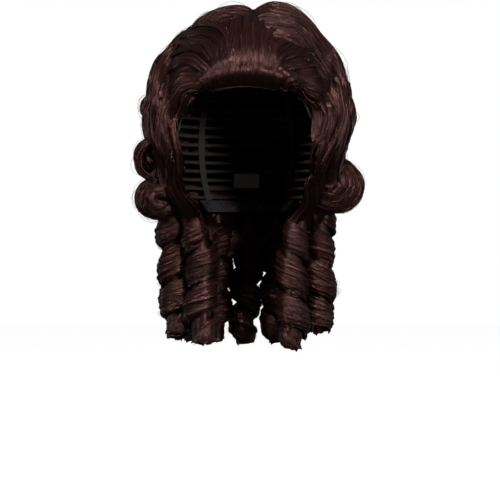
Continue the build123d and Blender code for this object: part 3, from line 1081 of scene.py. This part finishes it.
@dataclass
class BackHair:
    """The waved hair over the crown and down the back."""

    finish: bpy.types.Material
    wave: float = 2.6

    def guide(
        self, turn: float, top: float, bottom: float, lift: float, ends: Callable[[np.ndarray], np.ndarray]
    ) -> list[Point]:
        """Run one guide down the back of the head between two rises, with a lift at its ends."""
        stops = []
        for share in np.linspace(0, 1, 9):
            rise = top + (bottom - top) * share
            stops.append((turn, rise, lift + float(ends(np.array(share)))))
        return FORM.line(*stops)

    def build(self) -> list[bpy.types.Object]:
        """Make the upper and the lower half."""
        upper = HairPiece("back_hair_upper")
        for number, (low, high) in enumerate(UPPER_BACK):
            turns = np.linspace(low, high, 5)
            rows = [
                self.guide(turn, 84, -20, -1.0 + (number % 2), lambda v: -9 * smooth_step(0.72, 1.0, v))
                for turn in turns
            ]
            lock = Lock(
                rows, head_core, 40 + number, thickness=4.0, ridge=0.8, edge_tuck=4.0,
                wave=self.wave, sway=3.0, wave_phase=0.1 * number, wave_length=52, cell=1.7, step=4.0,
            )
            upper.comb(lock, UPPER_BACK_COMBING)
        lower = HairPiece("back_hair_lower")
        for number, (low, high) in enumerate(LOWER_BACK):
            turns = np.linspace(low, high, 5)
            rows = [
                self.guide(turn, 18, -44, -3.0 + (number % 2), lambda v: -9 * (1 - smooth_step(0.0, 0.4, v)))
                for turn in turns
            ]
            lock = Lock(
                rows, head_core, 50 + number, thickness=4.0, ridge=0.8, edge_tuck=4.0,
                wave=self.wave, sway=3.0, wave_phase=0.3 + 0.1 * number, wave_length=52,
            )
            lower.comb(lock, LOWER_BACK_COMBING)
        for number, (low, high) in enumerate(NAPE_SKIRT):
            rows = [
                [
                    (r * math.cos(math.radians(turn)), 16 + r * math.sin(math.radians(turn)), z)
                    for r, z in SKIRT_PROFILE
                ]
                for turn in np.linspace(low, high, 5)
            ]
            lock = Lock(
                rows, post_core(0, 16), 70 + number, thickness=2.5, ridge=0.8, edge_tuck=2.0,
                wave=1.2, sway=2.5, wave_length=44, cell=2.2, wave_phase=0.17 * number,
            )
            lower.comb(lock, SKIRT_COMBING)
        return [piece.on_cap(self.finish) for piece in (upper, lower)]


# The right side's guides, from beside the face to behind the ear.
SIDE_GUIDES = (
    ((50, -70, -58), (60, -64, -68), (65, -60, -84), (66, -57, -108),
     (62, -48, -138), (53, -32, -164), (42, -16, -190)),
    ((62, -66, -46), (72, -63, -64), (77, -59, -86), (77, -55, -110),
     (72, -46, -138), (63, -28, -166), (53, -10, -190)),
    ((74, -52, -36), (84, -48, -60), (88, -45, -86), (88, -40, -112),
     (84, -32, -140), (77, -16, -166), (70, 2, -188)),
    ((84, -36, -30), (92, -33, -58), (95, -31, -86), (94, -27, -114),
     (89, -20, -142), (82, -6, -168), (74, 12, -188)),
    ((92, -12, -28), (98, -10, -58), (100, -8, -86), (98, -5, -114),
     (92, 0, -142), (84, 10, -168), (76, 22, -188)),
    ((92, 16, -30), (98, 18, -58), (100, 20, -86), (98, 22, -114),
     (92, 26, -142), (83, 32, -168), (74, 36, -188)),
)


@dataclass
class SideHair:
    """The hair beside the face, from the temple down to the neck."""

    finish: bpy.types.Material
    side: Side

    def build(self) -> bpy.types.Object:
        """Make the side hair."""
        piece = HairPiece(f"side_hair_{self.side.word}")
        rows = [mirrored(self.side, guide) for guide in SIDE_GUIDES]
        sheet = Lock(
            rows, head_core, 61 + self.side.value, thickness=4.0, ridge=0.8, edge_tuck=3.0,
            wave=2.2, sway=3.5, wave_length=58, wave_phase=0.2,
        )
        piece.comb(sheet, SIDE_COMBING)
        return piece.on_cap(self.finish)


@dataclass
class RolledCurl:
    """A barrel curl lying from front to back at the side of the head."""

    finish: bpy.types.Material
    name: str
    side: Side
    middle: tuple[float, float, float]
    radius: float
    seed: int
    way: int

    def build(self) -> bpy.types.Object:
        """Make the curl of coils round its middle."""
        r = self.radius
        piece = HairPiece(self.name)
        inner = (self.middle[0] - self.side.value * 0.22 * r, *self.middle[1:])
        coils = (
            (self.middle, [(r * 0.90, 30), (r * 0.98, 20), (r, 8), (r * 0.94, -4)], 140, -380, 0.16),
            (self.middle, [(r * 1.0, 10), (r * 1.08, -4), (r * 1.08, -18), (r * 0.94, -30)], 115,
             300 * self.way, 0.1),
            (inner, [(r * 1.12, -10), (r * 1.12, -24), (r * 0.92, -36), (r * 0.66, -40)], 100, -250, 0.12),
            (inner, [(r * 0.86, -28), (r * 0.72, -39), (r * 0.46, -43), (r * 0.16, -38)], 130, -290, 0.2),
            (inner, [(r * 0.60, -30), (r * 0.44, -40), (r * 0.24, -41), (r * 0.04, -36)], 170, -330, 0.2),
        )
        for number, (middle, profile, start, sweep, shrink) in enumerate(coils):
            guides = roll_up(middle, profile, start, sweep, shrink, 2.0, self.side)
            lock = Lock(
                guides, rod_core(self.middle[0], self.middle[2]), self.seed + number,
                thickness=1.6, ridge=0.7, edge_tuck=1.6, end_tuck=2.0, step=2.8,
            )
            piece.comb(lock, CURL_COMBING)
        return piece.on_cap(self.finish)


@dataclass
class Ringlet:
    """A ringlet: ribbons of hair wound into a hanging barrel."""

    finish: bpy.types.Material
    name: str
    middle: tuple[float, float]
    top: float
    bottom: float
    seed: int
    radius: float = 13.6
    pitch: float = 35.0
    winds_left: bool = False
    lean: tuple[float, float] = (0.0, 0.0)

    def guides(self, phase: float, width: float, size: float) -> list[list[Point]]:
        """Wind one ribbon's guides round the ringlet's line.

        Args:
            phase: The angle where the ribbon starts.
            width: The ribbon's width as a share of the pitch.
            size: Its radius as a share of the ringlet's.

        Returns:
            The guides.
        """
        rng = np.random.default_rng(self.seed)
        turn_way = -1 if self.winds_left else 1
        share = np.linspace(0, 1, 70)
        z = self.top + 22 + (self.bottom - self.top - 22) * share
        fall = np.gradient(z)
        uneven = 1 + 0.14 * np.sin(2 * math.pi * (1.7 * share + rng.random()))
        loose = 0.10 + 0.90 * smooth_step(0.04, 0.26, share)
        angle = phase + turn_way * np.cumsum(-fall / self.pitch * 2 * math.pi * loose * uneven)
        radius = size * self.radius * (0.62 + 0.38 * smooth_step(0.0, 0.24, share))
        radius = radius * (1 - 0.28 * smooth_step(0.84, 1.0, share))
        radius = radius * (1 + 0.07 * np.sin(2 * math.pi * (2.6 * share + rng.random())))
        sway_x, sway_y = (
            rng.normal(0, 1.8) * np.sin(math.pi * (1.3 * share + rng.random())) * share
            + lean * (1 - smooth_step(0.0, 0.36, share))
            for lean in self.lean
        )
        ribbon = width * self.pitch * (0.7 + 0.3 * smooth_step(0, 0.15, share))
        ribbon = ribbon * (1 - 0.4 * smooth_step(0.88, 1.0, share))
        around = np.gradient(angle) * radius
        stride = np.hypot(around, fall)
        across_turn, across_z = -fall / stride, around / stride
        rows = []
        for place in np.linspace(-0.5, 0.5, 7):
            height = (z + place * ribbon * across_z - self.bottom) / 2.5
            reach = radius * (1 + 0.20 * (1 - 4 * place**2)) - 1.5 * max(0.0, place * turn_way)
            turned = angle + place * ribbon * across_turn / np.maximum(reach, 4.0)
            rows.append(
                np.stack(
                    [
                        self.middle[0] + sway_x + reach * np.cos(turned),
                        self.middle[1] + sway_y + reach * np.sin(turned),
                        self.bottom + 2.5 * np.logaddexp(0.0, height),
                    ],
                    axis=1,
                )
            )
        return rows

    def build(self) -> bpy.types.Object:
        """Make the ringlet."""
        piece = HairPiece(self.name)
        core = post_core(*self.middle)
        # The inside ribbon fills the ringlet's hollow middle as a darkened sheet: painted shade standing for
        # the shaded inside of the ringlet.
        inside = Lock(
            self.guides(self.seed + 2.6, 1.02, 0.62), core, self.seed * 10, thickness=1.2, ridge=0.3,
            edge_tuck=1.0, end_tuck=1.0, step=4.0, cell=3.0, samples=200,
        )
        piece.parts.append(inside.sheet())
        lock = Lock(
            self.guides(self.seed, 0.8, 1.0), core, self.seed * 10 + 1, thickness=1.4, ridge=0.45,
            edge_tuck=2.0, end_tuck=2.5, step=2.4, cell=1.3, samples=240,
        )
        piece.comb(lock, RINGLET_COMBING)
        made = piece.finish(self.finish)
        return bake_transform(made)


# ---------------------------------------------------------------- the cap


HEAD_HALF_WIDTH = 78 * MM


class Weave(Enum):
    """How a cloth part's threads run."""

    NET = "Diamond"
    RIBBED = "Rib"
    PILE = "Speckle"
    STITCHED = "Stitch"
    PLAIN = "Plain"


class Layout(Enum):
    """How a cloth part's pattern is laid on it."""

    ROUND = 0
    FLAT_TOP = 1
    SIDE = 2
    BACK = 3


@dataclass(frozen=True)
class ClothFinish:
    """The colours and threads of one cloth, with its pitch in metres."""

    name: str
    weave: Weave
    dark: Point
    light: Point
    pitch: float
    roughness: tuple[float, float] = (0.7, 0.92)
    depth: float = 0.35 * MM
    hole: float = 0.0
    sheen: float = 0.0


def weave_group() -> bpy.types.NodeTree:
    """Make the node group with every thread pattern.

    Returns:
        The group: map and pitch in; one height for each weave and a wear mask out.
    """
    group = bpy.data.node_groups.new("weave", "ShaderNodeTree")
    socket(group, "Map", "NodeSocketVector")
    socket(group, "Pitch", "NodeSocketFloat")
    for name in (*(weave.value for weave in Weave), "Wear"):
        socket(group, name, "NodeSocketFloat", True)
    graph = Graph(group)
    entry, leave = graph.add("NodeGroupInput"), graph.add("NodeGroupOutput")
    scaled = graph.scaled(entry.outputs["Map"], entry.outputs["Pitch"])
    parts = graph.add("ShaderNodeSeparateXYZ")
    graph.feed(parts.inputs[0], scaled)
    u, v = parts.outputs["X"], parts.outputs["Y"]
    rising, falling = graph.math("ADD", u, v), graph.math("SUBTRACT", u, v)
    diamond = graph.math("MAXIMUM", graph.ridge(rising), graph.ridge(falling))
    rib, weft = graph.ridge(u), graph.ridge(v)
    speckle = graph.fill(graph.add("ShaderNodeTexNoise"), Vector=scaled, Scale=1.0, Detail=4.0)
    wear = graph.add("ShaderNodeTexNoise")
    graph.fill(wear, Vector=entry.outputs["Map"], Scale=90.0, Detail=3.0)
    slant = graph.math("ADD", u, graph.math("MULTIPLY", graph.ridge(graph.math("MULTIPLY", v, 0.5)), 0.5))
    graph.fill(
        leave,
        Diamond=diamond,
        Rib=graph.math("MULTIPLY", graph.math("ADD", rib, 0.4), weft),
        Speckle=speckle.outputs["Fac"],
        Stitch=graph.math("POWER", graph.ridge(slant), 2.0),
        Plain=graph.math("MULTIPLY", rib, weft),
        Wear=wear.outputs["Fac"],
    )
    return group


def cloth_material(finish: ClothFinish, group: bpy.types.NodeTree) -> bpy.types.Material:
    """Make the material of one cloth.

    Args:
        finish: Its colours and threads.
        group: The node group of the thread patterns.

    Returns:
        The material.
    """
    made = bpy.data.materials.new(finish.name)
    made.use_nodes = True
    graph = Graph(made.node_tree)
    shader = made.node_tree.nodes["Principled BSDF"]
    weave = graph.add("ShaderNodeGroup", node_tree=group)
    graph.feed(weave.inputs["Map"], graph.add("ShaderNodeUVMap", uv_map="Cloth").outputs["UV"])
    graph.feed(weave.inputs["Pitch"], finish.pitch)
    height, wear = weave.outputs[finish.weave.value], weave.outputs["Wear"]
    blend = graph.math("MULTIPLY_ADD", height, 0.65, graph.math("MULTIPLY", wear, 0.35))
    graph.fill(
        shader,
        Base_Color=graph.blend(blend, (*finish.dark, 1.0), (*finish.light, 1.0)),
        Roughness=graph.spread(blend, To_Min=finish.roughness[1], To_Max=finish.roughness[0]),
        Normal=graph.bump(height, finish.depth),
        Sheen_Weight=finish.sheen,
    )
    if finish.hole:
        graph.feed(shader.inputs["Alpha"], graph.math("GREATER_THAN", height, finish.hole))
    return made


@dataclass
class ClothPart:
    """One sewn part of the cap, cut and finished over its node."""

    node: str
    slot: str
    finish: bpy.types.Material
    layout: Layout = Layout.ROUND
    flat: tuple[float, float] | None = None
    body: str = "cap"

    def build(self) -> bpy.types.Object:
        """Make the part."""
        bpy.ops.object.select_all(action="DESELECT")
        piece = bpy.data.objects.new(f"{self.node}_sewn", frame["nodes"][self.node].data.copy())
        bpy.context.scene.collection.objects.link(piece)
        piece.select_set(True)
        bpy.context.view_layer.objects.active = piece
        bpy.ops.object.mode_set(mode="EDIT")
        bpy.ops.mesh.select_all(action="SELECT")
        bpy.ops.mesh.remove_doubles(threshold=0.01 * MM)
        bpy.ops.object.mode_set(mode="OBJECT")
        bpy.ops.object.shade_smooth_by_angle(angle=math.radians(40))
        mesh = piece.data
        points = np.empty(len(mesh.vertices) * 3, np.float32)
        mesh.vertices.foreach_get("co", points)
        x, y, z = points.reshape(-1, 3).T
        place = {
            Layout.FLAT_TOP: (x, y),
            Layout.SIDE: (y, z),
            Layout.BACK: (x, z),
            Layout.ROUND: (np.arctan2(x, y) * HEAD_HALF_WIDTH, z),
        }[self.layout]
        corners = np.empty(len(mesh.loops), np.int32)
        mesh.loops.foreach_get("vertex_index", corners)
        layer = mesh.uv_layers.new(name="Cloth")
        layer.uv.foreach_set("vector", np.stack(place, 1)[corners].astype(np.float32).ravel())
        mesh.materials.clear()
        mesh.materials.append(self.finish)
        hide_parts(self.node)
        LOG.info("%s: %d faces", piece.name, len(mesh.polygons))
        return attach(piece, self.body)


@dataclass
class Cap:
    """The sewn cap inside the hair."""

    group: bpy.types.NodeTree

    def build(self) -> None:
        """Make every sewn part and give the hooks and stays their finish."""
        dark, brown = (0.010, 0.007, 0.006), (0.030, 0.018, 0.015)
        net = self.cloth("cap_net", Weave.NET, dark, brown, 2.2, depth=0.3 * MM, hole=0.74)
        weft = self.cloth("weft_track", Weave.STITCHED, dark, (0.045, 0.022, 0.018), 2.0)
        elastic = self.cloth("elastic", Weave.RIBBED, (0.012, 0.010, 0.010), (0.045, 0.040, 0.040), 1.1)
        velvet = self.cloth("velvet", Weave.PILE, dark, (0.040, 0.020, 0.017), 0.5, sheen=0.6)
        binding = self.cloth("binding", Weave.STITCHED, (0.010, 0.008, 0.008), (0.05, 0.04, 0.04), 1.4)
        label = self.cloth("label", Weave.PLAIN, (0.42, 0.39, 0.34), (0.66, 0.63, 0.57), 0.5)
        ClothPart("front_net", "cap_net", net, flat=(0.24, 0.105)).build()
        ClothPart("crown_net", "cap_net", net, Layout.FLAT_TOP, (0.09, 0.09)).build()
        ClothPart("weft_rows", "weft_track", weft).build()
        ClothPart("cap_ribbons", "elastic", elastic).build()
        ClothPart("velvet_front_band", "velvet", velvet, flat=(0.26, 0.02)).build()
        ClothPart("nape_band", "elastic", elastic).build()
        ClothPart("size_label", "label", label, Layout.BACK, (0.028, 0.017)).build()
        for side in Side:
            word = side.word
            ClothPart(f"ear_tab_{word}", "cap_net", net, Layout.SIDE, (0.03, 0.045)).build()
            ClothPart(f"edge_binding_{word}", "binding", binding, Layout.SIDE).build()
            ClothPart(f"adjuster_loops_{word}", "binding", binding).build()
            ClothPart(f"adjuster_strap_{word}", "elastic", elastic, body=f"adjuster_{word}").build()
        hook = self.cloth("hook", Weave.PILE, (0.02, 0.02, 0.02), (0.07, 0.07, 0.07), 1.2, (0.3, 0.5))
        for side in Side:
            for node, slot in ((f"adjuster_hook_{side.word}", "hook"), (f"ear_stay_{side.word}", "stay")):
                body = f"adjuster_{side.word}" if slot == "hook" else "cap"
                ClothPart(node, slot, hook, Layout.SIDE, body=body).build()

    def cloth(
        self,
        name: str,
        weave: Weave,
        dark: Point,
        light: Point,
        pitch: float,
        roughness: tuple[float, float] = (0.7, 0.92),
        **more: float,
    ) -> bpy.types.Material:
        """Make a cloth's material, with its pitch in millimetres."""
        finish = ClothFinish(name, weave, dark, light, pitch * MM, roughness, **more)
        return cloth_material(finish, self.group)


# ---------------------------------------------------------------- the studio


# Each soft lamp's name, place and diameter in metres, and its power in watts.
LAMPS = (
    ("key", (0.12, -1.05, 1.35), 0.4, 42),
    ("fill_left", (-1.5, -1.5, 0.35), 0.4, 26),
    ("fill_right", (1.2, -1.9, 0.25), 0.4, 30),
    ("rear_left", (-2.1, 1.1, -0.5), 0.8, 4),
    ("rear_right", (2.1, 1.1, -0.5), 0.8, 4),
    ("rear", (0.0, 2.4, 0.1), 0.8, 26),
)


@dataclass(frozen=True)
class Studio:
    """The floor, lights and camera, in metres."""

    floor: float = -0.449
    distance: float = 2.6
    look: Point = (0.0035, 0.0, -0.207)
    frame: float = 0.5
    glow: float = 0.96
    spill: float = 0.05

    def lamp(self, name: str, place: Point, size: float, power: float) -> None:
        """Add a soft lamp that faces the wig."""
        data = bpy.data.lights.new(name, "AREA")
        data.shape, data.size, data.energy = "DISK", size, power
        lamp = bpy.data.objects.new(name, data)
        bpy.context.scene.collection.objects.link(lamp)
        lamp.location = place
        aim(lamp, self.look)

    def build(self) -> None:
        """Make the floor, the lights and the camera."""
        paper = bpy.data.materials.new("paper")
        paper.use_nodes = True
        shader = paper.node_tree.nodes["Principled BSDF"]
        shader.inputs["Base Color"].default_value = (0.25, 0.25, 0.25, 1)
        shader.inputs["Roughness"].default_value = 0.9
        shader.inputs["Emission Color"].default_value = (1, 1, 1, 1)
        shader.inputs["Emission Strength"].default_value = self.glow
        for name, place, turn in (
            ("floor", (0, 0, self.floor), 0.0),
            ("backdrop", (0, 6, self.floor), math.pi / 2),
        ):
            bpy.ops.object.select_all(action="DESELECT")
            bpy.ops.mesh.primitive_plane_add(size=30, location=place, rotation=(turn, 0, 0))
            sheet = bpy.context.object
            sheet.name = name
            sheet.visible_diffuse = False
            sheet.visible_glossy = False
            sheet.data.materials.append(paper)
        world = bpy.data.worlds.new("world")
        bpy.context.scene.world = world
        world.use_nodes = True
        nodes, links = world.node_tree.nodes, world.node_tree.links
        around = nodes["Background"]
        around.inputs["Color"].default_value = (1, 1, 1, 1)
        around.inputs["Strength"].default_value = self.spill
        seen = nodes.new("ShaderNodeBackground")
        seen.inputs["Color"].default_value = (1, 1, 1, 1)
        seen.inputs["Strength"].default_value = self.glow
        path = nodes.new("ShaderNodeLightPath")
        mix = nodes.new("ShaderNodeMixShader")
        links.new(path.outputs["Is Camera Ray"], mix.inputs["Fac"])
        links.new(around.outputs["Background"], mix.inputs[1])
        links.new(seen.outputs["Background"], mix.inputs[2])
        links.new(mix.outputs["Shader"], nodes["World Output"].inputs["Surface"])
        for lamp in LAMPS:
            self.lamp(*lamp)
        bpy.context.scene.view_settings.view_transform = "Standard"
        camera_data = bpy.data.cameras.new("camera")
        camera_data.lens = camera_data.sensor_width * self.distance / self.frame
        camera = bpy.data.objects.new("camera", camera_data)
        bpy.context.scene.collection.objects.link(camera)
        camera.location = (self.look[0], -self.distance, self.look[2])
        camera.rotation_euler = (math.pi / 2, 0, 0)
        bpy.context.scene.camera = camera


def aim(lamp: bpy.types.Object, target: Point) -> None:
    """Turn a lamp towards a point."""
    way = type(lamp.location)(target) - lamp.location
    lamp.rotation_mode = "QUATERNION"
    lamp.rotation_quaternion = way.to_track_quat("-Z", "Y")


# Each side's fullness, and the width and line of every loose lock over its temple wave.
TEMPLES = {
    Side.RIGHT: (
        2.0,
        (
            (13, ((92, -52, -34), (97, -56, -54), (98, -58, -76), (90, -62, -100), (79, -60, -122),
                  (73, -52, -140))),
            (10, ((84, -62, -60), (84, -66, -82), (76, -66, -104), (72, -60, -126), (70, -48, -146))),
            (9, ((74, -66, -60), (80, -64, -76), (76, -64, -94), (68, -60, -112), (67, -54, -132))),
            (10, ((98, -30, -52), (105, -30, -68), (104, -32, -88), (94, -36, -108), (88, -36, -124))),
        ),
    ),
    Side.LEFT: (
        -3.0,
        (
            (12, ((84, -48, -40), (94, -48, -56), (99, -46, -72), (96, -48, -88), (86, -52, -104))),
            (10, ((74, -60, -56), (84, -60, -72), (84, -62, -92), (78, -60, -112), (76, -50, -132))),
            (9, ((72, -62, -74), (73, -62, -92), (69, -60, -112), (68, -54, -134), (64, -42, -154))),
            (11, ((82, -46, -96), (98, -44, -100), (108, -40, -114), (106, -40, -130), (92, -42, -142))),
        ),
    ),
}
# How far each crown lobe swells.
CROWN_SWELL = {Side.RIGHT: 6.0, Side.LEFT: 2.0}
# Each rolled curl's name, side, middle, radius and the way its outer coil turns.
ROLLS = (
    ("rolled_curl_right_upper", Side.RIGHT, (93.0, -2.0, -76.0), 14.5, -1),
    ("rolled_curl_right_lower", Side.RIGHT, (90.0, 4.0, -142.0), 26.0, 1),
    ("rolled_curl_left_upper", Side.LEFT, (-90.0, -2.0, -66.0), 13.5, -1),
    ("rolled_curl_left_middle", Side.LEFT, (-94.5, 4.0, -114.0), 15.5, -1),
    ("rolled_curl_left_lower", Side.LEFT, (-90.0, 4.0, -156.0), 19.0, -1),
)
CURL_SEED = 100
# Each ringlet's name, its degrees round the row from +X, and its lowest Z.
RINGLETS = (
    ("ringlet_right_1", -8.0, -284.5),
    ("ringlet_right_2", 16.5, -292.5),
    ("ringlet_right_3", 41.0, -298.5),
    ("ringlet_right_4", 65.5, -303.5),
    ("ringlet_back", 90.0, -305.5),
    ("ringlet_left_4", 114.5, -303.5),
    ("ringlet_left_3", 139.0, -300.5),
    ("ringlet_left_2", 163.5, -298.5),
    ("ringlet_left_1", 188.0, -292.5),
)
ROW_RADIUS = 74
ROW_MIDDLE = 18
ROW_LEAN = (2.0, 4.0)
RINGLET_TOP = -175
RINGLET_SEED = 200
# Each front ringlet's side, lowest Z and seed, then the place and lean that they share.
FRONT_RINGLETS = ((Side.RIGHT, -307.5, 220), (Side.LEFT, -301.5, 221))
FRONT_PLACE = (46.37, -8.46)
FRONT_LEAN = (17.0, -2.0)


def main() -> None:
    """Build every piece of the wig, then the studio."""
    logging.basicConfig(level=logging.INFO, format="%(message)s")
    finish = hair_material(HairFinish(), fibre_group())
    FrontHair(finish).build()
    for side in Side:
        TempleHair(finish, side, *TEMPLES[side]).build()
        CrownLobe(finish, side, CROWN_SWELL[side]).build()
        SideHair(finish, side).build()
    BackHair(finish).build()
    for number, (name, side, middle, radius, way) in enumerate(ROLLS):
        RolledCurl(finish, name, side, middle, radius, CURL_SEED + 10 * number, way).build()
    for number, (name, degrees, bottom) in enumerate(RINGLETS):
        turn = math.radians(degrees)
        place = (ROW_RADIUS * math.cos(turn), ROW_MIDDLE + ROW_RADIUS * math.sin(turn))
        lean = (ROW_LEAN[0] * math.cos(turn), ROW_LEAN[1] * math.sin(turn))
        Ringlet(
            finish, name, place, RINGLET_TOP, bottom, RINGLET_SEED + number,
            winds_left=place[0] < 0, lean=lean,
        ).build()
    for side, bottom, seed in FRONT_RINGLETS:
        s = side.value
        Ringlet(
            finish, f"ringlet_{side.word}_front", (FRONT_PLACE[0] * s, FRONT_PLACE[1]), RINGLET_TOP,
            bottom, seed, winds_left=s < 0, lean=(FRONT_LEAN[0] * s, FRONT_LEAN[1]),
        ).build()
    Cap(weave_group()).build()
    Studio().build()


if __name__ == "__main__":
    main()
